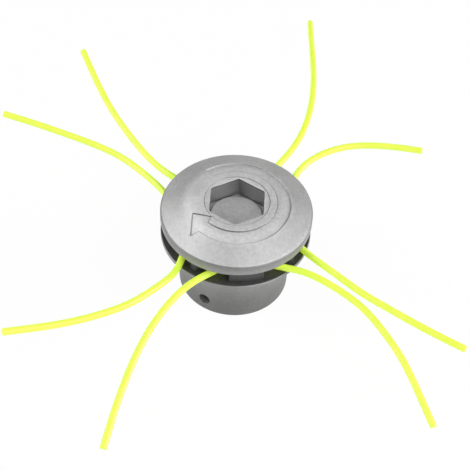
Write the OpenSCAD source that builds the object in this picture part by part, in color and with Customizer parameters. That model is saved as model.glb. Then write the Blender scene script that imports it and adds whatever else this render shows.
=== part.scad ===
// Fixed line trimmer head: a cast cap screwed into a cast base, with four
// nylon lines held in the gap between them. Millimetres. The head stands on
// the rim of its cup, which is z = 0, and +Z points to the cap.

/* [Cup] */
// Outside diameter of the cup
cup_d = 54.2; // [52:0.2:56]
// Thickness of the cup's wall
cup_wall = 3.5; // [2.5:0.25:4.5]
// Depth of the cup from its rim to its ceiling
cup_depth = 26; // [24:0.5:27]
// Diameter of the bar hole through the cup's wall
bar_hole_d = 6; // [4:0.5:8]
// Height of the bar hole's centre above the rim
bar_hole_z = 8; // [6:0.5:10]
// Direction of the bar hole, in degrees from +X
bar_hole_angle = -130.5; // [-180:0.5:180]

/* [Flange and posts] */
// How far the flange's edge stays inside the cap's edge
flange_setback = 0.1; // [0:0.1:1]
// Thickness of the flange at its edge
flange_t = 2.2; // [1.8:0.2:3]
// Height of the flange's top face
flange_z = 35.2; // [34:0.2:37]
// Height of the gap that the lines pass through
gap_h = 8; // [7:0.2:9]
// How far the posts stay inside the cap's edge
post_setback = 2.5; // [1.5:0.25:3]
// Half the angle that a broad post covers, in degrees
broad_half_angle = 14; // [12:1:18]
// Width of a narrow post
narrow_w = 6; // [4:0.5:7]
// Length of a narrow post from the axis outwards
narrow_l = 7; // [7:0.5:8]

/* [Cap] */
// Diameter of the cap
cap_d = 73; // [71:0.5:76]
// Height of the cap's straight rim
cap_rim_h = 5.6; // [5:0.2:7]
// Height of the crown above the rim's edge
crown_h = 5.9; // [5:0.1:6.5]
// Turn of the cap on its thread, in degrees
cap_turn = -12; // [-180:0.5:180]
// Width of the hexagonal socket across its flats
socket_af = 25.6; // [24:0.2:26]
// Depth of the socket to its round seat
socket_depth = 10.5; // [9:0.5:11]
// Depth of the round land that the socket opens in
land_depth = 0.3; // [0.2:0.1:0.5]
// Depth of the sunk arrow
arrow_depth = 0.6; // [0.3:0.1:0.8]

/* [Threads] */
// Diameter of the cap's threaded boss
boss_thread_d = 37; // [36:0.5:38]
// Length of the cap's threaded boss
boss_thread_l = 9; // [8:0.5:9.5]
// Minor diameter of the spindle thread in the insert
spindle_minor_d = 8.65; // [8.4:0.05:8.9]
// Width of the steel insert across its flats
insert_af = 16; // [15:0.5:17]

/* [Lines] */
// Diameter of the nylon line
line_d = 3.3; // [2.4:0.1:3.5]

/* [Hidden] */
$fn = 120;
// A small overshoot that keeps cuts clean.
eps = 0.02;
// Sizes of small edge breaks.
edge = 0.4;
edge_large = 0.8;

cup_r = cup_d / 2;
cup_inner_r = cup_r - cup_wall;
cap_r = cap_d / 2;
flange_r = cap_r - flange_setback;
post_reach = cap_r - post_setback;
narrow_start = post_reach - narrow_l;
flange_low_z = flange_z - flange_t;
flange_fillet = 2;
gap_top_z = flange_z + gap_h;
bar_hole_r = bar_hole_d / 2;

// The hub, and the bore in it that takes the cap's boss.
thread_clearance = 0.1;
boss_thread_r = boss_thread_d / 2;
hub_bore_r = boss_thread_r + thread_clearance;
hub_wall = 2.9;
hub_r = hub_bore_r + hub_wall;
hub_bore_floor_z = gap_top_z - boss_thread_l - 1;

// The boss in the cup that holds the steel insert.
insert_boss_r = 12;
insert_low_z = 7;
insert_groove_r = 7.2;
insert_groove_h = 4;
insert_mouth = 0.9;
spindle_r = spindle_minor_d / 2;
relief_r = 5.4;
relief_h = 2;

// The bend of a line behind a broad post: an arc about a point outside it.
line_r = line_d / 2;
bend_r = 34.5;
bend_near = 23.85;
bend_centre = bend_near + bend_r;
line_lift = 0.1;
line_z = flange_z + line_r + line_lift;
post_clearance = 0.25;
narrow_end_r = narrow_w / 2;

// The cap's crown: a flat middle, an arc, then a straight slope to the rim.
rim_top_z = gap_top_z + cap_rim_h;
crown_z = rim_top_z + crown_h;
crown_flat_r = 18;
crown_bend_r = 22;
crown_steps = 8;
// The straight slope starts where it meets the rim's edge at this height.
crown_angle = 24;
crown_arc = [for (i = [0 : crown_steps])
    let (a = crown_angle * i / crown_steps)
    [crown_flat_r + crown_bend_r * sin(a),
     crown_z - crown_bend_r * (1 - cos(a))]];
rim_break = 0.5;
rim_edge = [cap_r - rim_break, rim_top_z];

// The hexagonal socket.
hex_r = socket_af / 2 / cos(30);
seat_z = crown_z - socket_depth;
seat_r = socket_af / 2 - 0.05;
corner_drop = 1.5;
land_r = hex_r + 0.9;

// The sunk arrow: its band, and the three corners of its head.
arrow_inner_r = 19.3;
arrow_outer_r = 25.6;
arrow_start = 129;
arrow_end = -131;
arrow_step = 6;
arrow_shaft = [for (a = [arrow_start : -arrow_step : arrow_end]) a];
head_inner = [16, -136];
head_outer = [29.5, -133.5];
head_tip = [22.4, -155];

// The routes of the lines outside the head. Each list runs outwards from the
// flange's edge, as [x, y, rise above the line's height in the gap], in the
// frame of a line that bends behind the broad post at -Y.
front_left_route = [[-24.5, -32.1, 0], [-36.3, -41.5, -1], [-46.2, -52.9, -3],
    [-54.5, -65.5, -5.5], [-61.5, -78.8, -8.5], [-67.8, -92.6, -12],
    [-73.5, -106.5, -16]];
front_right_route = [[27.3, -32.7, 0], [40.4, -42.4, -1.5],
    [51.3, -54.1, -3.5], [59.2, -67.6, -6.5], [65, -82.2, -9.5],
    [69, -97.5, -13.5], [72.7, -112.8, -18]];
right_left_route = [[-26.4, -34.7, 0], [-38.5, -44.2, 0], [-49, -52.7, 0],
    [-58.5, -62.1, 0], [-67.8, -71.6, 0], [-76.8, -81.5, 0],
    [-85.5, -91.7, 0]];
right_right_route = [[26.1, -32.8, 0], [36.8, -41.9, 0.2], [43.1, -53.7, 0.6],
    [45.1, -65.9, 1.3], [43.7, -78.1, 2], [39.9, -90.1, 3],
    [35.2, -101.4, 4]];
back_left_route = [[-25.2, -35.3, 0], [-41.3, -55.4, -1],
    [-50.9, -75.6, -2.5], [-57.3, -96.9, -4.5], [-61.7, -118.6, -7.5],
    [-65.2, -140.4, -10.5], [-68.8, -162.3, -14]];
back_right_route = [[24.5, -33.8, 0], [36.6, -48.9, 0.5], [44.2, -64, 1],
    [50.8, -79.6, 2], [56, -95.5, 3], [60.3, -111.7, 4.5], [64.2, -128.1, 6]];
left_left_route = [[-26.2, -32.3, 0], [-39.8, -41.2, 0.5], [-51.9, -51.7, 1],
    [-61.4, -64.8, 2], [-69.6, -78.8, 3], [-77, -93.2, 4.5],
    [-83.9, -107.9, 6]];
left_right_route = [[23.9, -31.7, 0], [34.8, -42.5, 1.5], [44, -54.7, 4],
    [51.3, -68.1, 7.5], [57.2, -82.3, 11.5], [62.3, -96.8, 16.5],
    [67, -111.3, 22]];

line_sides = 8;
bend_half_angle = 27;
bend_steps = 6;
// The points of the bend that every line shares.
bend_route = [for (i = [0 : bend_steps])
    let (a = bend_half_angle * (2 * i / bend_steps - 1))
    [bend_r * sin(a), bend_r * cos(a) - bend_centre, 0]];

function polar(p) = [p[0] * cos(p[1]), p[0] * sin(p[1])];

function unit(v) = v / norm(v);

function reversed(list) = [for (i = [len(list) - 1 : -1 : 0]) list[i]];

function route(left, right) = [for (p = concat(reversed(left), bend_route, right))
    p + [0, 0, line_z]];

// The direction of a route at one of its points.
function heading(path, i) =
    unit(path[min(i + 1, len(path) - 1)] - path[max(i - 1, 0)]);

// One ring of a tube, square to the route, in the order of its sides.
function ring(path, i) =
    let (
        along = heading(path, i),
        side = unit(cross([0, 0, 1], along)),
        up = cross(along, side)
    )
    [for (k = [0 : line_sides - 1])
        let (a = 360 * (k + 0.5) / line_sides)
        path[i] + line_r * (cos(a) * side + sin(a) * up)];

function tube_points(path) =
    [for (i = [0 : len(path) - 1]) each ring(path, i)];

function tube_faces(count) = concat(
    [[for (k = [0 : line_sides - 1]) k]],
    [for (i = [0 : count - 2], k = [0 : line_sides - 1])
        let (n = (k + 1) % line_sides)
        [i * line_sides + k, (i + 1) * line_sides + k,
         (i + 1) * line_sides + n, i * line_sides + n]],
    [[for (k = [line_sides - 1 : -1 : 0]) (count - 1) * line_sides + k]]);

module tube(path) {
    polyhedron(points = tube_points(path), faces = tube_faces(len(path)),
        convexity = 4);
}

// The outside of the steel insert, which the base is cast around.
module insert_blank() {
    difference() {
        translate([0, 0, insert_low_z])
            cylinder(h = cup_depth - insert_low_z,
                r = insert_af / 2 / cos(30), $fn = 6);
        translate([0, 0, (cup_depth + insert_low_z - insert_groove_h) / 2])
            difference() {
                cylinder(h = insert_groove_h, r = insert_af);
                translate([0, 0, -eps])
                    cylinder(h = insert_groove_h + 2 * eps, r = insert_groove_r);
            }
    }
}

// The turned outline of the base, from the cup's rim to the top of the hub.
module base_outline() {
    rotate_extrude()
        polygon([
            [cup_inner_r + edge, 0],
            [cup_r - edge_large, 0],
            [cup_r, edge_large],
            [cup_r, flange_low_z - flange_fillet],
            [cup_r + flange_fillet, flange_low_z],
            [flange_r - edge, flange_low_z],
            [flange_r, flange_low_z + edge],
            [flange_r, flange_z - edge],
            [flange_r - edge, flange_z],
            [hub_r, flange_z],
            [hub_r, gap_top_z],
            [hub_bore_r + edge_large, gap_top_z],
            [hub_bore_r, gap_top_z - edge_large],
            [hub_bore_r, hub_bore_floor_z],
            [0, hub_bore_floor_z],
            [0, insert_low_z],
            [insert_boss_r - edge, insert_low_z],
            [insert_boss_r, insert_low_z + edge],
            [insert_boss_r, cup_depth - flange_fillet],
            [insert_boss_r + flange_fillet, cup_depth],
            [cup_inner_r - flange_fillet, cup_depth],
            [cup_inner_r, cup_depth - flange_fillet],
            [cup_inner_r, edge]
        ]);
}

// A post that one line bends behind: its inner face follows the bend.
module broad_post() {
    tip = cap_d * tan(broad_half_angle);
    intersection() {
        translate([0, 0, flange_z - eps])
            cylinder(h = gap_h + eps, r = post_reach);
        translate([0, -bend_centre, flange_z - eps])
            cylinder(h = gap_h + eps,
                r = bend_r - line_r - post_clearance);
        translate([0, 0, flange_z - eps])
            linear_extrude(gap_h + eps)
                polygon([[0, 0], [-tip, -cap_d], [tip, -cap_d]]);
    }
}

// A post between the two lines that leave side by side.
module narrow_post() {
    translate([0, -narrow_start - narrow_end_r, flange_z - eps])
        cylinder(h = gap_h + eps, r = narrow_end_r);
    translate([0, -post_reach + narrow_end_r, flange_z - eps])
        cylinder(h = gap_h + eps, r = narrow_end_r);
    translate([-narrow_end_r, -post_reach + narrow_end_r, flange_z - eps])
        cube([narrow_w, post_reach - narrow_start - narrow_w, gap_h + eps]);
}

module base() {
    color("silver")
    difference() {
        union() {
            base_outline();
            for (a = [0 : 90 : 270]) {
                rotate([0, 0, a])
                    broad_post();
                rotate([0, 0, a + 45])
                    narrow_post();
            }
        }
        insert_blank();
        translate([0, 0, cup_depth - eps])
            cylinder(h = relief_h + eps, r = relief_r);
        rotate([0, 0, bar_hole_angle])
            translate([insert_boss_r + edge_large, 0, bar_hole_z])
                rotate([0, 90, 0])
                    cylinder(h = cup_r, r = bar_hole_r);
    }
}

module thread_insert() {
    color("dimgray")
    difference() {
        insert_blank();
        translate([0, 0, insert_low_z - eps])
            cylinder(h = cup_depth - insert_low_z + 2 * eps, r = spindle_r);
        translate([0, 0, insert_low_z - eps])
            cylinder(h = insert_mouth + eps, r1 = spindle_r + insert_mouth,
                r2 = spindle_r);
    }
}

// The cap's solid from the end of its boss to its crown.
module cap_outline() {
    rotate_extrude()
        polygon(concat(
            [[0, gap_top_z - boss_thread_l],
             [boss_thread_r - edge_large, gap_top_z - boss_thread_l],
             [boss_thread_r, gap_top_z - boss_thread_l + edge_large],
             [boss_thread_r, gap_top_z],
             [cap_r - edge, gap_top_z],
             [cap_r, gap_top_z + edge],
             [cap_r, rim_top_z - rim_break],
             rim_edge],
            reversed(crown_arc),
            [[0, crown_z]]));
}

// The part of the cap that lies within the arrow's depth of its crown.
module crown_skin() {
    difference() {
        cap_outline();
        translate([0, 0, -arrow_depth])
            cap_outline();
        cylinder(h = rim_top_z, r = cap_d);
    }
}

module arrow_plan() {
    polygon(concat(
        [for (a = arrow_shaft) polar([arrow_outer_r, a])],
        [polar([arrow_outer_r, arrow_end])],
        [polar(head_outer), polar(head_tip), polar(head_inner)],
        [polar([arrow_inner_r, arrow_end])],
        [for (a = reversed(arrow_shaft)) polar([arrow_inner_r, a])]));
}

// The hexagonal prism of the socket, deeper in its six corners.
module socket() {
    difference() {
        translate([0, 0, seat_z - corner_drop])
            rotate([0, 0, 30])
                cylinder(h = crown_h + socket_depth, r = hex_r, $fn = 6);
        translate([0, 0, seat_z - corner_drop - eps])
            cylinder(h = corner_drop + eps, r = seat_r);
    }
}

module cap() {
    color("gainsboro")
    rotate([0, 0, cap_turn])
        difference() {
            cap_outline();
            socket();
            translate([0, 0, crown_z - land_depth])
                cylinder(h = crown_h, r = land_r);
            intersection() {
                crown_skin();
                translate([0, 0, rim_top_z])
                    linear_extrude(crown_h + 1)
                        arrow_plan();
            }
        }
}

module line_front() {
    color("yellowgreen")
    tube(route(front_left_route, front_right_route));
}

module line_right() {
    color("yellowgreen")
    rotate([0, 0, 90])
        tube(route(right_left_route, right_right_route));
}

module line_back() {
    color("yellowgreen")
    rotate([0, 0, 180])
        tube(route(back_left_route, back_right_route));
}

module line_left() {
    color("yellowgreen")
    rotate([0, 0, -90])
        tube(route(left_left_route, left_right_route));
}

base();
thread_insert();
cap();
line_front();
line_right();
line_back();
line_left();
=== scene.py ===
# %% [markdown]
# A fixed line trimmer head: a cast cap screwed into a cast base, and four
# nylon lines held in the gap between them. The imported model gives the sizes
# and the places, and this script gives the look. Every length is in metres,
# and millimetres are written as 52.5 * MM.

import bpy
import numpy as np
from mathutils import Matrix, Vector


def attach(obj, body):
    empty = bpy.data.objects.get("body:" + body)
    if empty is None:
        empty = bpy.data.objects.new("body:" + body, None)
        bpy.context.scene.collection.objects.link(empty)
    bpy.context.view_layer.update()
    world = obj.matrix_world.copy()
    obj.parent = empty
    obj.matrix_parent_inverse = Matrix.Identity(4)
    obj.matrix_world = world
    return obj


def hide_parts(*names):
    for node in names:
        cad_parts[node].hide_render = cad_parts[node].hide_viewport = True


MM = 0.001
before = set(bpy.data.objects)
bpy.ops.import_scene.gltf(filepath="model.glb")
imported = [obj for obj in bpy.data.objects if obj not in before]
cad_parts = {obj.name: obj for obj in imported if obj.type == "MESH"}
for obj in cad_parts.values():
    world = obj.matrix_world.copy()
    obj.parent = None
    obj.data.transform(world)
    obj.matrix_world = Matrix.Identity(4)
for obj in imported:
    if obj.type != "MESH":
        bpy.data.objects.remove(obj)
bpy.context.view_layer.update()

# %% [markdown]
# The camera comes first. It looks down on the head at about 49 degrees, from
# the side of the broad post at -Y and a little to its left. Its place comes
# from the sizes of the ovals that the round edges make in the picture. The
# roll is the small lean that the head has there.

# %% Camera
PICTURE = 470
FOCAL = 1255.2
RIM_HEIGHT = 47.0 * MM
DISTANCE = 600.0 * MM
ELEVATION = np.radians(49.159)
AROUND = np.radians(-11.0)
ROLL = np.radians(3.213)
AIM_OFF = (0.7557 * MM, 11.2725 * MM)


def turned(vector, angle):
    """The vector turned about Z by the angle."""
    x, y, z = vector
    return Vector((x * np.cos(angle) - y * np.sin(angle),
                   x * np.sin(angle) + y * np.cos(angle), z))


def stand_camera():
    """A camera whose X, Y and Z axes are the picture's right, up and back."""
    back = Vector((0, -np.cos(ELEVATION), np.sin(ELEVATION)))
    level = Vector((1, 0, 0))
    upright = back.cross(level)
    right = turned(np.cos(ROLL) * level + np.sin(ROLL) * upright, AROUND)
    up = turned(np.cos(ROLL) * upright - np.sin(ROLL) * level, AROUND)
    back = turned(back, AROUND)
    place = (Vector((0, 0, RIM_HEIGHT)) + back * DISTANCE
             - right * AIM_OFF[0] - up * AIM_OFF[1])
    camera = bpy.data.objects.new("camera", bpy.data.cameras.new("camera"))
    camera.data.sensor_width = 36.0
    camera.data.lens = FOCAL / PICTURE * 36.0
    camera.data.clip_start = 0.01
    camera.data.clip_end = 20.0
    turn = Matrix((right, up, back)).transposed().to_4x4()
    camera.matrix_world = Matrix.Translation(place) @ turn
    bpy.context.scene.collection.objects.link(camera)
    bpy.context.scene.camera = camera
    return camera


camera = stand_camera()
print("camera stands at", [round(v, 4) for v in camera.matrix_world.translation])

# %% [markdown]
# Each nylon line is one length of round monofilament. It bends behind a broad
# post, and its two ends leave the gap on either side of that post and keep
# the curl of the coil that they were cut from. The route is the one that the
# CAD tube follows: an arc behind the post, then seven points on each side. A
# curve object would do, but a mesh tube lets the ends be cut square and gives
# the material a map along the line.

# %% Routes of the lines
LINE_RADIUS = 1.65 * MM
LINE_HEIGHT = 36.95 * MM
BEND_RADIUS = 34.5
BEND_CENTRE = 58.35
BEND_HALF_ANGLE = 27

ROUTES = {
    "line_front": (0, [
        (-24.5, -32.1, 0), (-36.3, -41.5, -1), (-46.2, -52.9, -3),
        (-54.5, -65.5, -5.5), (-61.5, -78.8, -8.5), (-67.8, -92.6, -12),
        (-73.5, -106.5, -16)], [
        (27.3, -32.7, 0), (40.4, -42.4, -1.5), (51.3, -54.1, -3.5),
        (59.2, -67.6, -6.5), (65, -82.2, -9.5), (69, -97.5, -13.5),
        (72.7, -112.8, -18)]),
    "line_right": (90, [
        (-26.4, -34.7, 0), (-38.5, -44.2, 0), (-49, -52.7, 0),
        (-58.5, -62.1, 0), (-67.8, -71.6, 0), (-76.8, -81.5, 0),
        (-85.5, -91.7, 0)], [
        (26.1, -32.8, 0), (36.8, -41.9, 0.2), (43.1, -53.7, 0.6),
        (45.1, -65.9, 1.3), (43.7, -78.1, 2), (39.9, -90.1, 3),
        (35.2, -101.4, 4)]),
    "line_back": (180, [
        (-25.2, -35.3, 0), (-41.3, -55.4, -1), (-50.9, -75.6, -2.5),
        (-57.3, -96.9, -4.5), (-61.7, -118.6, -7.5), (-65.2, -140.4, -10.5),
        (-68.8, -162.3, -14)], [
        (24.5, -33.8, 0), (36.6, -48.9, 0.5), (44.2, -64, 1),
        (50.8, -79.6, 2), (56, -95.5, 3), (60.3, -111.7, 4.5),
        (64.2, -128.1, 6)]),
    "line_left": (-90, [
        (-26.2, -32.3, 0), (-39.8, -41.2, 0.5), (-51.9, -51.7, 1),
        (-61.4, -64.8, 2), (-69.6, -78.8, 3), (-77, -93.2, 4.5),
        (-83.9, -107.9, 6)], [
        (23.9, -31.7, 0), (34.8, -42.5, 1.5), (44, -54.7, 4),
        (51.3, -68.1, 7.5), (57.2, -82.3, 11.5), (62.3, -96.8, 16.5),
        (67, -111.3, 22)]),
}


def line_route(turn, left, right):
    """The points of a line: its left end inwards, the arc, its right end."""
    angle = np.radians(np.linspace(-BEND_HALF_ANGLE, BEND_HALF_ANGLE, 7))
    arc = np.stack([BEND_RADIUS * np.sin(angle),
                    BEND_RADIUS * np.cos(angle) - BEND_CENTRE,
                    np.zeros(7)], axis=1)
    points = np.concatenate([np.array(left)[::-1], arc, np.array(right)]) * MM
    points[:, 2] += LINE_HEIGHT
    c, s = np.cos(np.radians(turn)), np.sin(np.radians(turn))
    return points @ np.array([[c, s, 0], [-s, c, 0], [0, 0, 1]])


def smooth_path(points, spacing):
    """A natural cubic spline through the points, at even steps of its length.

    Between two points the curve is a cubic whose slope and bend match the
    next one's where they meet; the bends come from one linear system.
    """
    gaps = np.linalg.norm(np.diff(points, axis=0), axis=1)
    at = np.concatenate([[0], np.cumsum(gaps)])
    count = len(points)
    system = np.eye(count)
    wanted = np.zeros((count, 3))
    inner = np.arange(1, count - 1)
    system[inner, inner] = 2 * (gaps[:-1] + gaps[1:])
    system[inner, inner - 1] = gaps[:-1]
    system[inner, inner + 1] = gaps[1:]
    slopes = np.diff(points, axis=0) / gaps[:, None]
    wanted[inner] = 6 * np.diff(slopes, axis=0)
    bends = np.linalg.solve(system, wanted)

    def curve(where):
        i = np.clip(np.searchsorted(at, where, side="right") - 1, 0, count - 2)
        h = gaps[i][:, None]
        a = (at[i + 1] - where)[:, None]
        b = (where - at[i])[:, None]
        return (bends[i] * a**3 + bends[i + 1] * b**3) / (6 * h) + (
            points[i] / h - bends[i] * h / 6) * a + (
            points[i + 1] / h - bends[i + 1] * h / 6) * b

    fine = curve(np.linspace(0, at[-1], 4000))
    run = np.concatenate([[0], np.cumsum(
        np.linalg.norm(np.diff(fine, axis=0), axis=1))])
    steps = int(round(run[-1] / spacing)) + 1
    even = np.linspace(0, run[-1], steps)
    return np.stack([np.interp(even, run, fine[:, k]) for k in range(3)],
                    axis=1), run[-1]


paths = {name: smooth_path(line_route(*route), 1.5 * MM)
         for name, route in ROUTES.items()}
for name, (path, length) in paths.items():
    print(name, "is", round(length / MM), "mm long, in", len(path), "rings")

# %% [markdown]
# Every new piece here is a skin of rings: a grid of points whose rows are
# closed rings, one after another along the piece. Each small square of the
# grid becomes a face. A skin can be closed by a point at each end, like a
# tube's cut faces, or by joining its last ring to its first, like a washer.

# %% A skin of rings
def lay_skin(name, rings, start=None, end=None, ring_shut=False, sharp=40):
    """A mesh piece from rings, an array of ring by point by coordinate.

    Point j of ring i joins point j + 1 and ring i + 1, so that the faces look
    outwards when the rings turn anticlockwise seen from the last one's side.
    """
    n, m = rings.shape[:2]
    points = rings.reshape(-1, 3)
    rows = n if ring_shut else n - 1
    i, j = np.meshgrid(np.arange(rows), np.arange(m), indexing="ij")
    k, up = (j + 1) % m, (i + 1) % n
    squares = np.stack([i * m + j, i * m + k, up * m + k, up * m + j],
                       axis=-1).reshape(-1, 4)
    faces = squares.tolist()
    j = np.arange(m)
    k = (j + 1) % m
    if start is not None:
        hub = np.full(m, len(points))
        points = np.vstack([points, start])
        faces += np.stack([hub, k, j], axis=1).tolist()
    if end is not None:
        hub = np.full(m, len(points))
        points = np.vstack([points, end])
        last = (n - 1) * m
        faces += np.stack([hub, last + j, last + k], axis=1).tolist()
    mesh = bpy.data.meshes.new(name)
    mesh.from_pydata(points.tolist(), [], faces)
    mesh.polygons.foreach_set("use_smooth", np.ones(len(faces), bool))
    mesh.set_sharp_from_angle(angle=np.radians(sharp))
    piece = bpy.data.objects.new(name, mesh)
    bpy.context.scene.collection.objects.link(piece)
    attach(piece, "root")
    return piece


# %% [markdown]
# A line is a round tube along its path. Its ends are snipped, so the last
# third of a millimetre is squeezed by the cutter and then cut square.

# %% The four lines
LINE_SIDES = 28
SNIP_LENGTH = 0.35 * MM
SNIP_RADIUS = 0.9 * LINE_RADIUS


def line_piece(name, path):
    """A tube: at each path point, radius times (cos a side + sin a up).

    The side is level and square to the path, and the radius shrinks over the
    snipped length at both ends, where one more ring is put in.
    """
    along = np.gradient(path, axis=0)
    along /= np.linalg.norm(along, axis=1)[:, None]
    side = np.cross([0, 0, 1], along)
    side /= np.linalg.norm(side, axis=1)[:, None]
    up = np.cross(along, side)
    angle = np.arange(LINE_SIDES) * 2 * np.pi / LINE_SIDES
    centres = np.concatenate([path[:1], path[:1] + along[:1] * SNIP_LENGTH,
                              path[1:-1], path[-1:] - along[-1:] * SNIP_LENGTH,
                              path[-1:]])
    pick = np.concatenate([[0, 0], np.arange(1, len(path) - 1), [-1, -1]])
    radius = np.full(len(centres), LINE_RADIUS)
    radius[[0, -1]] = SNIP_RADIUS
    rings = centres[:, None] + radius[:, None, None] * (
        np.cos(angle)[None, :, None] * side[pick][:, None]
        + np.sin(angle)[None, :, None] * up[pick][:, None])
    return lay_skin(name, rings, start=centres[0], end=centres[-1])


lines = {}
for name, (path, length) in paths.items():
    piece = line_piece("nylon_" + name, path)
    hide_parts(name)
    lines[name] = piece
    print(piece.name, "has", len(piece.data.polygons), "faces")

# %% [markdown]
# Shader maths reads better as sums than as wired boxes. A Signal wraps one
# socket, so that 0.34 + 0.12 * grain adds the Math nodes it needs, and a
# Finish makes every other node from its type, its settings and its sockets.

# %% A small language for finishes
class Signal:
    """A socket that can be added and multiplied, from either side."""

    def __init__(self, finish, socket):
        self.finish = finish
        self.socket = socket

    def maths(self, operation, first, second):
        return self.finish.node("ShaderNodeMath", {"operation": operation},
                                {0: first, 1: second})

    def __add__(self, other):
        return self.maths("ADD", self, other)

    def __mul__(self, other):
        return self.maths("MULTIPLY", self, other)

    __radd__ = __add__
    __rmul__ = __mul__


class Finish:
    """A material with one surface shader, and the nodes that feed it."""

    def __init__(self, name, **constants):
        self.material = bpy.data.materials.new(name)
        self.material.use_nodes = True
        self.tree = self.material.node_tree
        self.tree.nodes.clear()
        self.shader = self.tree.nodes.new("ShaderNodeBsdfPrincipled")
        out = self.tree.nodes.new("ShaderNodeOutputMaterial")
        self.tree.links.new(self.shader.outputs[0], out.inputs[0])
        self.feed(**constants)

    def put(self, socket, value):
        if isinstance(value, Signal):
            self.tree.links.new(value.socket, socket)
        else:
            socket.default_value = value

    def node(self, kind, settings, sockets, outlet=0):
        made = self.tree.nodes.new(kind)
        for key, value in settings.items():
            setattr(made, key, value)
        for key, value in sockets.items():
            self.put(made.inputs[key], value)
        return Signal(self, made.outputs[outlet])

    def feed(self, **sockets):
        """Fills the shader's sockets; an underscore stands for a space."""
        for key, value in sockets.items():
            self.put(self.shader.inputs[key.replace("_", " ")], value)

    def place(self):
        return self.node("ShaderNodeTexCoord", {}, {}, outlet="Object")

    def noise(self, where, scale, detail=3.0, roughness=0.55):
        return self.node("ShaderNodeTexNoise", {},
                         {"Vector": where, "Scale": scale, "Detail": detail,
                          "Roughness": roughness})

    def ramp(self, value, low, high):
        """0 below low, 1 above high and a smooth step between."""
        return self.node("ShaderNodeMapRange",
                         {"interpolation_type": "SMOOTHSTEP"},
                         {"Value": value, "From Min": low, "From Max": high})

    def blend(self, factor, first, second):
        """A colour that goes from first to second."""
        return self.node("ShaderNodeMix", {"data_type": "RGBA"},
                         {0: factor, 6: first, 7: second}, outlet=2)

    def multiply(self, first, second):
        """One colour times another."""
        return self.node("ShaderNodeMix",
                         {"data_type": "RGBA", "blend_type": "MULTIPLY"},
                         {0: 1.0, 6: first, 7: second}, outlet=2)

    def bump(self, height, strength, distance):
        return self.node("ShaderNodeBump", {},
                         {"Strength": strength, "Distance": distance,
                          "Height": height})


def grey(level, warm=0.0):
    """A grey of that level, a little warmer or cooler."""
    return (level * (1 + warm), level, level * (1 - warm), 1.0)


# %% [markdown]
# Trimmer line is extruded nylon with a strong yellow-green dye. It is a
# little cloudy, so the colour is deep and bright at once: some light goes in
# and comes out nearby. Part of its brightness is a painted glow as well: the
# line gives off a weak light of its own colour, in light and shade alike. The
# extruder leaves faint streaks along it. Its own map would show streaks that
# follow it, but they are too faint at this size, so a soft noise in the
# object's space is enough.

# %% Nylon
# The emission is a painted glow: the line gives off a little yellow-green light of its
# own, in light and shade alike.
nylon = Finish("nylon_yellow_green", IOR=1.53,
               Emission_Color=(0.74, 1.0, 0.09, 1), Emission_Strength=0.24,
               Coat_Weight=0.25, Coat_Roughness=0.25, Subsurface_Weight=0.25,
               Subsurface_Scale=0.0012, Subsurface_Radius=(1.0, 1.0, 0.3))
where = nylon.place()
cloud = nylon.noise(where, 160.0)
fleck = nylon.noise(where, 1400.0, detail=2.0)
nylon.feed(Base_Color=nylon.blend(nylon.ramp(cloud, 0.35, 0.65),
                                  (0.67, 0.9, 0.07, 1), (0.71, 0.92, 0.085, 1)),
           Roughness=0.34 + 0.12 * fleck)
for piece in lines.values():
    piece.data.materials.append(nylon.material)
print("nylon on", len(lines), "lines")

# %% [markdown]
# The cap is one aluminium casting. The CAD solid has its sizes, but a casting
# has no sharp corners: the arrow's walls slope, the socket's edge is rounded,
# and the rim's edge is soft. So a new skin replaces it. Its rings start at
# the middle of the boss's end, run up the thread, out under the disc, round
# the rim, in over the crown, over the socket's edge and down to its seat.

# %% Sizes of the cap
AROUND_CAP = 720
CAP_TURN = np.radians(-12)
CAP_R, RIM_LOW, RIM_TOP, CROWN = 36.5, 43.2, 48.8, 54.7
BOSS_R, BOSS_LOW = 18.5, 34.2
THREAD_PITCH, THREAD_DEPTH = 2.0, 1.0
CROWN_FLAT, CROWN_BEND, CROWN_ANGLE = 18, 22, np.radians(24)
SOCKET_HALF, SEAT, CORNER_FLOOR, SEAT_R = 12.8, 44.2, 43.2, 12.7
LAND_R, LAND_DEPTH, LAND_SLOPE = 15.68, 0.3, 0.06
LIP = 0.25
SOCKET_CORNER_R = 14.85
ARROW_DEPTH, ARROW_WALL = 0.6, 0.4
ARROW_R, ARROW_HALF = 22.45, 3.15
ARROW_MIDDLE, ARROW_SWING = np.radians(-6), np.radians(135)
ARROW_HEAD = [(16, -136), (19.3, -131), (25.6, -131), (29.5, -133.5), (22.4, -155)]

turn = np.arange(AROUND_CAP) * 2 * np.pi / AROUND_CAP


def crown_height(r):
    """Flat to 18 mm, an arc of 22 mm radius, then a straight slope."""
    bend_end = CROWN_FLAT + CROWN_BEND * np.sin(CROWN_ANGLE)
    edge = CROWN - CROWN_BEND * (1 - np.cos(CROWN_ANGLE))
    out = np.clip(r, CROWN_FLAT, bend_end) - CROWN_FLAT
    arc = CROWN - CROWN_BEND + np.sqrt(CROWN_BEND**2 - out**2)
    slope = edge + (RIM_TOP - edge) * (r - bend_end) / (CAP_R - 0.5 - bend_end)
    return np.where(r < bend_end, arc, slope)


def hexagon(angle, half, roundness=44):
    """The radius of a hexagon with soft corners, its flats half away.

    It is half over the high-power mean of the cosines to its three pairs of
    flats, which is a true hexagon as the power grows.
    """
    c = np.abs(np.cos(angle[..., None] - np.radians([0, 60, 120])))
    return half / np.sum(c**roundness, axis=-1)**(1 / roundness)


def polar(r, degrees):
    return np.array([r * np.cos(np.radians(degrees)), r * np.sin(np.radians(degrees))])


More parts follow.
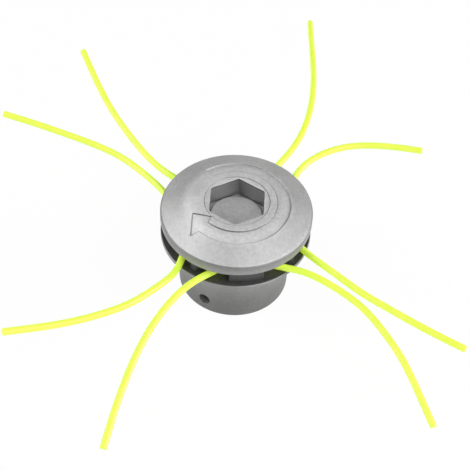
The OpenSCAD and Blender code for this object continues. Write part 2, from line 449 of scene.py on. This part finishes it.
def arrow_distance(r, angle):
    """How far a point is outside the arrow's outline, or less than 0 inside.

    The band lies between two radii and two angles, and its end lies inside
    the head. The head is the part inside five straight edges. The distance is
    the smaller of the distances to the two shapes.
    """
    swing = np.abs((angle - ARROW_MIDDLE + np.pi) % (2 * np.pi) - np.pi)
    band = np.maximum(np.abs(r - ARROW_R) - ARROW_HALF,
                      (swing - ARROW_SWING) * r)
    x, y = r * np.cos(angle), r * np.sin(angle)
    corners = [polar(*corner) for corner in ARROW_HEAD]
    centre = sum(corners) / len(corners)
    head = np.full_like(r, -99.0)
    for a, b in zip(corners, corners[1:] + corners[:1]):
        out = np.array([b[1] - a[1], a[0] - b[0]]) / np.hypot(*(b - a))
        out *= np.sign(out @ (a - centre))
        head = np.maximum(head, (x - a[0]) * out[0] + (y - a[1]) * out[1])
    return np.minimum(band, head)


def arrow_mask(r, angle):
    """1 inside the arrow and 0 outside, with a sloping wall between."""
    depth = np.clip(0.5 - arrow_distance(r, angle) / ARROW_WALL, 0, 1)
    return depth * depth * (3 - 2 * depth)


# %% [markdown]
# The boss carries the thread that pulls the cap down. It cuts into the boss:
# the radius falls and rises once for each turn, shifted round with height.

# %% Rings of the cap
def thread_shape(phase):
    """A rounded 60 degree thread: 0 at the crest and 1 at the root."""
    wave = np.abs((phase % 1) * 2 - 1)
    return np.clip(wave * 1.5 - 0.25, 0, 1)


def cap_rings():
    """All rings of the cap, as an array of ring by point by coordinate."""
    rings = []

    def add(r, z):
        r, z = np.broadcast_to(r, turn.shape), np.broadcast_to(z, turn.shape)
        rings.append(np.stack([r * np.cos(turn), r * np.sin(turn), z], axis=-1))

    for r, z in [(9, BOSS_LOW), (17.2, BOSS_LOW), (BOSS_R - 1.1, BOSS_LOW + 0.1)]:
        add(r, z)
    for z in np.arange(BOSS_LOW + 0.9, RIM_LOW - 0.9, 0.3):
        fade = np.clip((RIM_LOW - 1.4 - z) / 1.0, 0, 1)
        root = THREAD_DEPTH * thread_shape(z / THREAD_PITCH - turn / (2 * np.pi))
        add(BOSS_R - fade * root, z)
    for r, z in [(BOSS_R, RIM_LOW - 0.3), (BOSS_R + 0.3, RIM_LOW),
                 (CAP_R - 0.9, RIM_LOW), (CAP_R - 0.45, RIM_LOW + 0.05),
                 (CAP_R - 0.13, RIM_LOW + 0.25), (CAP_R, RIM_LOW + 0.6),
                 (CAP_R, RIM_TOP - 0.9), (CAP_R - 0.1, RIM_TOP - 0.5),
                 (CAP_R - 0.32, RIM_TOP - 0.18)]:
        add(r, z)
    for r in np.concatenate([np.linspace(CAP_R - 0.7, 30.2, 12),
                             np.arange(30, LAND_R + 0.05, -0.22)]):
        z = crown_height(np.full_like(turn, r))
        add(r, z - ARROW_DEPTH * arrow_mask(np.full_like(turn, r), turn))
    land = CROWN - LAND_DEPTH
    hex_r = hexagon(turn, SOCKET_HALF)
    for r, z in [(LAND_R, CROWN - 0.02), (LAND_R - 0.04, CROWN - 0.07),
                 (LAND_R - 0.16, land + 0.05), (LAND_R - 0.2, land),
                 (LAND_R - 0.26, land)]:
        add(r, z)
    for a in np.radians([0, 30, 60, 90]):
        add(hex_r + LIP * (1 - np.sin(a)),
            land - LAND_SLOPE * (LAND_R - hex_r) - LIP * (1 - np.cos(a)))
    add(hex_r, CROWN - 3)
    add(hex_r, CORNER_FLOOR + 3)
    add(hex_r, CORNER_FLOOR + 0.5)
    gap = hex_r - SEAT_R
    for share, z in [(0.9, CORNER_FLOOR + 0.1), (0.5, CORNER_FLOOR),
                     (0.1, CORNER_FLOOR + 0.1)]:
        add(SEAT_R + gap * share, z)
    for r, z in [(SEAT_R - 0.02, SEAT - 0.5), (SEAT_R - 0.12, SEAT - 0.2),
                 (SEAT_R - 0.4, SEAT - 0.04), (SEAT_R - 0.9, SEAT),
                 (8, SEAT - 0.05), (3, SEAT - 0.1)]:
        add(r, z)
    return np.array(rings)


def about_axis(points, angle):
    """Points in millimetres turned about Z, in metres."""
    c, s = np.cos(angle), np.sin(angle)
    return points @ np.array([[c, s, 0], [-s, c, 0], [0, 0, 1]]) * MM


rings = about_axis(cap_rings(), CAP_TURN)
cap = lay_skin("cap_casting", rings, start=[0, 0, BOSS_LOW * MM],
               end=[0, 0, (SEAT - 0.1) * MM], sharp=50)
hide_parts("cap")
print("cap has", len(rings), "rings and", len(cap.data.polygons), "faces")

# %% [markdown]
# Cast aluminium is grey, matt and never even. The cap is blasted from above,
# so its flat and sloping faces come out bright, while steep walls are darker:
# the rim, the socket and most of all the walls of the arrow. That darkness is
# partly the darker skin of the casting, which the blast did not reach, and
# partly painted shade. The crown's slope is painted a little darker than its
# flat middle, as painted shade. The arrow's outline is painted darker still:
# partly dirt that stays in its corners and partly painted shade on its walls.
# How steep the skin is, and how near the arrow's outline, can be worked out
# for each point once, and both are kept with the mesh as attributes that the
# finish reads.

# %% How steep the cap's skin is, and where the arrow's outline runs
def store(mesh, name, values):
    layer = mesh.attributes.new(name, "FLOAT", "POINT")
    layer.data.foreach_set("value", values.astype(np.float32))


def store_cap_maps(piece):
    """Adds two attributes, steep and outline.

    Steep is 1 less how much the surface faces up. Outline is 1 on the wall of
    the arrow, falls to a seventh at 0.23 mm from its middle and to 0 at 0.55
    mm. All of it is times 0.8, but not on the outer wall at the back, which
    faces the front lamp: that wall gets the most painted shade, which covers
    the lamp's highlight there. The wall round the socket's land has 0.8 too,
    which falls to 0.3 at its back. The finish darkens by both maps: partly
    the casting's skin and dirt, partly painted shade.
    """
    mesh = piece.data
    normals = np.empty(len(mesh.vertices) * 3, np.float32)
    mesh.vertices.foreach_get("normal", normals)
    steep = 1 - np.abs(normals.reshape(-1, 3)[:, 2])
    places = np.empty(len(mesh.vertices) * 3, np.float32)
    mesh.vertices.foreach_get("co", places)
    x, y, z = places.reshape(-1, 3).T / MM
    r, angle = np.hypot(x, y), np.arctan2(y, x)
    away = np.abs(arrow_distance(r, angle - CAP_TURN))
    outline = np.maximum(np.clip(1.3 - away / 0.2, 0, 1),
                         0.15 * np.clip(1.5 - away / 0.37, 0, 1))
    outline *= z > RIM_TOP
    towards_lamp = np.clip(2 * np.sin(angle), 0, 1) * (r > ARROW_R)
    outline *= 0.8 + 0.2 * towards_lamp
    land_wall = (np.abs(r - LAND_R + 0.09) < 0.12) & (z > RIM_TOP)
    outline[land_wall] = 0.8 - 0.5 * np.clip(np.sin(angle[land_wall]), 0, 1)
    store(mesh, "steep", steep)
    store(mesh, "outline", outline)
    return steep, outline


steep, outline = store_cap_maps(cap)
print("share of the cap's points on steep walls:", round(float((steep > 0.5).mean()), 2))
print("and on the arrow's outline:", round(float((outline > 0.5).mean()), 2))

# %% [markdown]
# Grains under a millimetre catch the light one by one, and broader clouds
# come from handling. Both multiply the grey of the metal, whatever it is.

# %% Cast aluminium
def grained(cast, where, level, grain_size=1.5):
    """Feeds a metal's grey with its grains, its clouds and its relief."""
    grain = cast.noise(where, 1 / (grain_size * MM), detail=4.0, roughness=0.65)
    cloud = cast.noise(where, 75.0, detail=3.0)
    mottle = cast.ramp(0.6 * grain + 0.4 * cloud, 0.36, 0.64)
    shade = cast.blend(mottle, grey(0.90), grey(1.08))
    cast.feed(Base_Color=cast.multiply(level, shade),
              Roughness=0.44 + 0.16 * grain,
              Normal=cast.bump(grain, 0.35, 0.12 * MM))


def cylinder_place(cast):
    """The object's own place, its height, and its distance from the axis."""
    where = cast.place()
    height = cast.node("ShaderNodeSeparateXYZ", {}, {0: where}, outlet="Z")
    flat = cast.node("ShaderNodeVectorMath", {"operation": "MULTIPLY"},
                     {0: where, 1: (1, 1, 0)})
    distance = cast.node("ShaderNodeVectorMath", {"operation": "LENGTH"},
                         {0: flat}, outlet="Value")
    return where, height, distance


cap_metal = Finish("cast_aluminium_cap", Metallic=0.7, IOR=1.45)
where, height, distance = cylinder_place(cap_metal)
steep = cap_metal.node("ShaderNodeAttribute", {"attribute_name": "steep"}, {},
                       outlet="Fac")
outline = cap_metal.node("ShaderNodeAttribute", {"attribute_name": "outline"}, {},
                         outlet="Fac")
# Painted shade: the crown's sloping edge is painted darker than its flat middle.
top = cap_metal.blend(cap_metal.ramp(distance, 22 * MM, 28 * MM),
                      grey(0.88), grey(0.59))
# Steep walls are painted dark: partly the casting's darker skin, partly painted shade.
level = cap_metal.blend(cap_metal.ramp(steep, 0.12, 0.3), top, grey(0.14))
# The arrow's outline is painted dark: partly dirt in its corners, partly painted shade
# on its walls, darkest on the back wall to hide the front lamp's highlight.
level = cap_metal.blend(outline, level, grey(0.17))
# Painted shade on the rim's side, darker towards its upper edge.
on_rim = cap_metal.ramp(distance, (CAP_R - 0.8) * MM, (CAP_R - 0.4) * MM)
up_the_rim = cap_metal.ramp(height, (RIM_LOW + 0.4) * MM, (RIM_TOP - 0.2) * MM)
rim = cap_metal.blend(up_the_rim, grey(0.35), grey(0.265))
level = cap_metal.blend(on_rim, level, rim)
# Painted shade in the socket: dark walls that darken towards the seat, and darker
# pockets in the corners round the lighter seat.
in_socket = cap_metal.ramp(height, (CROWN - 0.8) * MM, (CROWN - 1.5) * MM)
up_the_wall = cap_metal.ramp(height, (SEAT + 1.8) * MM, (CROWN - 0.7) * MM)
wall = cap_metal.blend(up_the_wall, grey(0.22), grey(0.255))
on_the_seat = cap_metal.ramp(height, (SEAT - 0.5) * MM, (SEAT - 0.1) * MM)
bottom = cap_metal.blend(on_the_seat, grey(0.5), grey(0.85))
inside = cap_metal.blend(cap_metal.ramp(steep, 0.2, 0.6), bottom, wall)
within = cap_metal.ramp(distance, (SOCKET_CORNER_R + 0.15) * MM,
                        SOCKET_CORNER_R * MM)
level = cap_metal.blend(in_socket * within, level, inside)
grained(cap_metal, where, level)
cap.data.materials.append(cap_metal.material)
print("cast metal on", cap.name)

# %% [markdown]
# The base is the same metal. Between it and the cap, on the flange's top and
# the posts, it is painted dark, as painted shade, for the cap shades the gap.
# The cup's wall is painted darker towards the bottom, and its inside a dark
# grey, both as painted shade. The edge of the flange and the wall of the cup
# were turned in a lathe, which leaves fine rings round the axis. A noise that
# only knows the height makes them.

# %% Base metal
FLANGE_TOP, FLANGE_R = 35.2 * MM, 36.4 * MM
CUP_CEILING, CUP_R = 26.0 * MM, 27.1 * MM

base_metal = Finish("cast_aluminium_base", Metallic=0.7, IOR=1.45)
where, height, distance = cylinder_place(base_metal)
# Painted shade in the gap under the cap: the flange's top and the posts are painted
# dark.
in_gap = (base_metal.ramp(height, FLANGE_TOP - 0.3 * MM, FLANGE_TOP - 0.05 * MM)
          * base_metal.ramp(distance, FLANGE_R + 0.05 * MM, FLANGE_R - 0.2 * MM))
# Painted shade: the cup's wall is painted darker towards the bottom.
low = base_metal.ramp(height, FLANGE_TOP - 1.6 * MM, 4.0 * MM)
level = base_metal.blend(low, grey(0.355), grey(0.185))
on_flange = base_metal.ramp(distance, FLANGE_R - 0.9 * MM, FLANGE_R - 0.4 * MM)
level = base_metal.blend(on_flange, level, grey(0.30))
level = base_metal.blend(in_gap, level, grey(0.10))
# Painted shade inside the cup.
in_cup = (base_metal.ramp(height, CUP_CEILING + 0.2 * MM, CUP_CEILING - 0.2 * MM)
          * base_metal.ramp(distance, CUP_R - 0.5 * MM, CUP_R - 0.9 * MM))
level = base_metal.blend(in_cup, level, grey(0.30))
lathe_marks = base_metal.node("ShaderNodeTexNoise", {"noise_dimensions": "1D"},
                              {"W": height, "Scale": 1500.0, "Detail": 2.0})
lathe_shade = base_metal.blend(lathe_marks, grey(0.85), grey(1.15))
level = base_metal.multiply(level, lathe_shade)
grained(base_metal, where, level)
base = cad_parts["base"]
base.data.materials.clear()
base.data.materials.append(base_metal.material)
print("cast metal on", base.name)

# %% [markdown]
# The steel insert has the spindle's thread, M10 with a pitch of 1.25 mm and
# left-handed, so that the running head does not unscrew itself. It is a closed
# skin like a long washer: up the outside, in over the top, down the threaded
# bore and out along the bottom.

# %% Threaded insert
AROUND_INSERT = 96
INSERT_LOW, INSERT_TOP, INSERT_HALF = 7.0, 26.0, 8.0
GROOVE_LOW, GROOVE_TOP, GROOVE_R = 14.5, 18.5, 7.2
BORE_R, SPINDLE_R, SPINDLE_PITCH = 4.325, 5.0, 1.25


def insert_rings():
    """Rings of the insert; the bore's radius follows a left-hand helix."""
    angle = np.arange(AROUND_INSERT) * 2 * np.pi / AROUND_INSERT
    hex_r = hexagon(angle, INSERT_HALF, roundness=300)
    hex_r = np.minimum(hex_r, INSERT_HALF / np.cos(np.radians(30)))
    rings = []

    def add(r, z):
        r, z = np.broadcast_to(r, angle.shape), np.broadcast_to(z, angle.shape)
        rings.append(np.stack([r * np.cos(angle), r * np.sin(angle), z], axis=-1))

    for r, z in [(hex_r, INSERT_LOW), (hex_r, GROOVE_LOW), (GROOVE_R, GROOVE_LOW),
                 (GROOVE_R, GROOVE_TOP), (hex_r, GROOVE_TOP), (hex_r, INSERT_TOP),
                 (BORE_R, INSERT_TOP)]:
        add(r, z)
    for z in np.arange(INSERT_TOP - 0.3, INSERT_LOW + 0.9, -SPINDLE_PITCH / 10):
        root = thread_shape(z / SPINDLE_PITCH + angle / (2 * np.pi))
        add(BORE_R + (SPINDLE_R - BORE_R) * root, z)
    add(BORE_R + 0.9, INSERT_LOW)
    return np.array(rings) * MM


rings = insert_rings()
insert = lay_skin("insert_with_thread", rings, ring_shut=True, sharp=35)
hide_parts("thread_insert")
steel = Finish("turned_steel", Metallic=1.0)
where = steel.place()
marks = steel.noise(where, 1800.0, detail=2.0)
steel.feed(Base_Color=steel.blend(marks, grey(0.36, 0.02), grey(0.50, 0.02)),
           Roughness=0.28 + 0.2 * marks,
           Normal=steel.bump(marks, 0.2, 0.03 * MM))
insert.data.materials.append(steel.material)
print("insert has", len(insert.data.polygons), "faces")

# %% [markdown]
# The floor is a plain white sheet. Its colour alone would come out a little
# grey, so for the camera, and for what metal mirrors, most of it glows white.
# The rest is lit, and keeps the soft shadow of the head. Under the cup nothing
# glows, so that the bar hole shows the dark that it has on the real head.

# %% Floor
def floor_piece(size):
    mesh = bpy.data.meshes.new("floor")
    half = size / 2
    mesh.from_pydata([(-half, -half, 0), (half, -half, 0), (half, half, 0),
                      (-half, half, 0)], [], [(0, 1, 2, 3)])
    piece = bpy.data.objects.new("floor", mesh)
    bpy.context.scene.collection.objects.link(piece)
    return piece


def floor_material(glow):
    """Diffuse white, mixed with a white glow for camera and mirror rays."""
    sheet = Finish("white_floor", Base_Color=grey(0.9), Roughness=0.9)
    ray = {}
    for kind in ("Is Camera Ray", "Is Glossy Ray", "Is Transmission Ray"):
        ray[kind] = sheet.node("ShaderNodeLightPath", {}, {}, outlet=kind)
    seen = sheet.node("ShaderNodeMath", {"operation": "MAXIMUM"},
                      {0: ray["Is Camera Ray"], 1: ray["Is Glossy Ray"]})
    seen = sheet.node("ShaderNodeMath", {"operation": "MAXIMUM"},
                      {0: seen, 1: ray["Is Transmission Ray"]})
    distance = cylinder_place(sheet)[2]
    outside = sheet.ramp(distance, CUP_R - 2.6 * MM, CUP_R - 1.6 * MM)
    light = sheet.node("ShaderNodeEmission", {},
                       {"Color": grey(1.0), "Strength": 1.0})
    lit = Signal(sheet, sheet.shader.outputs[0])
    mixed = sheet.node("ShaderNodeMixShader", {},
                       {0: seen * glow * outside, 1: lit, 2: light})
    out = sheet.tree.nodes["Material Output"]
    sheet.tree.links.new(mixed.socket, out.inputs[0])
    return sheet.material


floor = floor_piece(6.0)
floor.data.materials.append(floor_material(0.95))

# %% [markdown]
# The light is a plain studio: a weak sky that is brighter overhead, three soft
# lamps high at the left, the front and the back left, and two smaller ones low
# at the left and the right. The slope of the crown is bright on its sides and
# darker in front and behind, and these places of the lamps give just that.
# The backdrop is white: the camera sees it so, and mirror rays do near the
# horizon, but it sends no light of its own onto the head.

# %% Light
def studio_sky(top, side, backdrop):
    """World light from side at the horizon to top overhead.

    What the camera sees of it is the white backdrop. Mirror rays see it at
    four fifths, up to the height that is given as the sine of its angle.
    """
    world = bpy.data.worlds.new("studio")
    world.use_nodes = True
    bpy.context.scene.world = world
    tree = world.node_tree
    tree.nodes.clear()

    def node(kind, settings, sockets, outlet=0):
        made = tree.nodes.new(kind)
        for key, value in settings.items():
            setattr(made, key, value)
        for key, value in sockets.items():
            if isinstance(value, bpy.types.NodeSocket):
                tree.links.new(value, made.inputs[key])
            else:
                made.inputs[key].default_value = value
        return made.outputs[outlet]

    where = node("ShaderNodeTexCoord", {}, {}, outlet="Generated")
    z = node("ShaderNodeSeparateXYZ", {}, {0: where}, outlet="Z")
    smooth = {"interpolation_type": "SMOOTHSTEP"}
    sky = node("ShaderNodeMapRange", smooth,
               {"Value": z, "From Min": 0.0, "From Max": 0.9,
                "To Min": side, "To Max": top})
    low = node("ShaderNodeMapRange", smooth,
               {"Value": z, "From Min": backdrop, "From Max": 0.0,
                "To Max": 0.8})
    ray = node("ShaderNodeLightPath", {}, {}, outlet="Is Glossy Ray")
    mirror = node("ShaderNodeMath", {"operation": "MULTIPLY"}, {0: ray, 1: low})
    for kind in ("Is Camera Ray", "Is Transmission Ray"):
        ray = node("ShaderNodeLightPath", {}, {}, outlet=kind)
        mirror = node("ShaderNodeMath", {"operation": "MAXIMUM"}, {0: mirror, 1: ray})
    strength = node("ShaderNodeMix", {"data_type": "FLOAT"},
                    {0: mirror, 2: sky, 3: 1.0})
    light = node("ShaderNodeBackground", {},
                 {"Color": grey(1.0), "Strength": strength})
    out = tree.nodes.new("ShaderNodeOutputWorld")
    tree.links.new(light, out.inputs[0])
    return world


def soft_lamp(name, place, size, power):
    """A square lamp that faces the head."""
    data = bpy.data.lights.new(name, "AREA")
    data.size = size
    data.energy = power
    lamp = bpy.data.objects.new(name, data)
    place = Vector(place)
    aim = (Vector((0, 0, 0.04)) - place).to_track_quat("-Z", "Y")
    lamp.matrix_world = Matrix.Translation(place) @ aim.to_matrix().to_4x4()
    bpy.context.scene.collection.objects.link(lamp)
    return lamp


studio_sky(top=0.096, side=0.04, backdrop=0.15)
soft_lamp("left_lamp", (-0.955, 0.0, 0.995), 1.0, 5.6)
soft_lamp("low_left_lamp", (-1.247, 0.109, 0.546), 0.7, 5.7)
soft_lamp("front_lamp", (0.477, -0.827, 0.995), 1.0, 11.0)
soft_lamp("back_lamp", (-0.731, 0.614, 0.995), 1.0, 2.8)
soft_lamp("low_right_lamp", (1.264, -0.223, 0.457), 0.7, 14.5)
bpy.context.scene.view_settings.view_transform = "Standard"
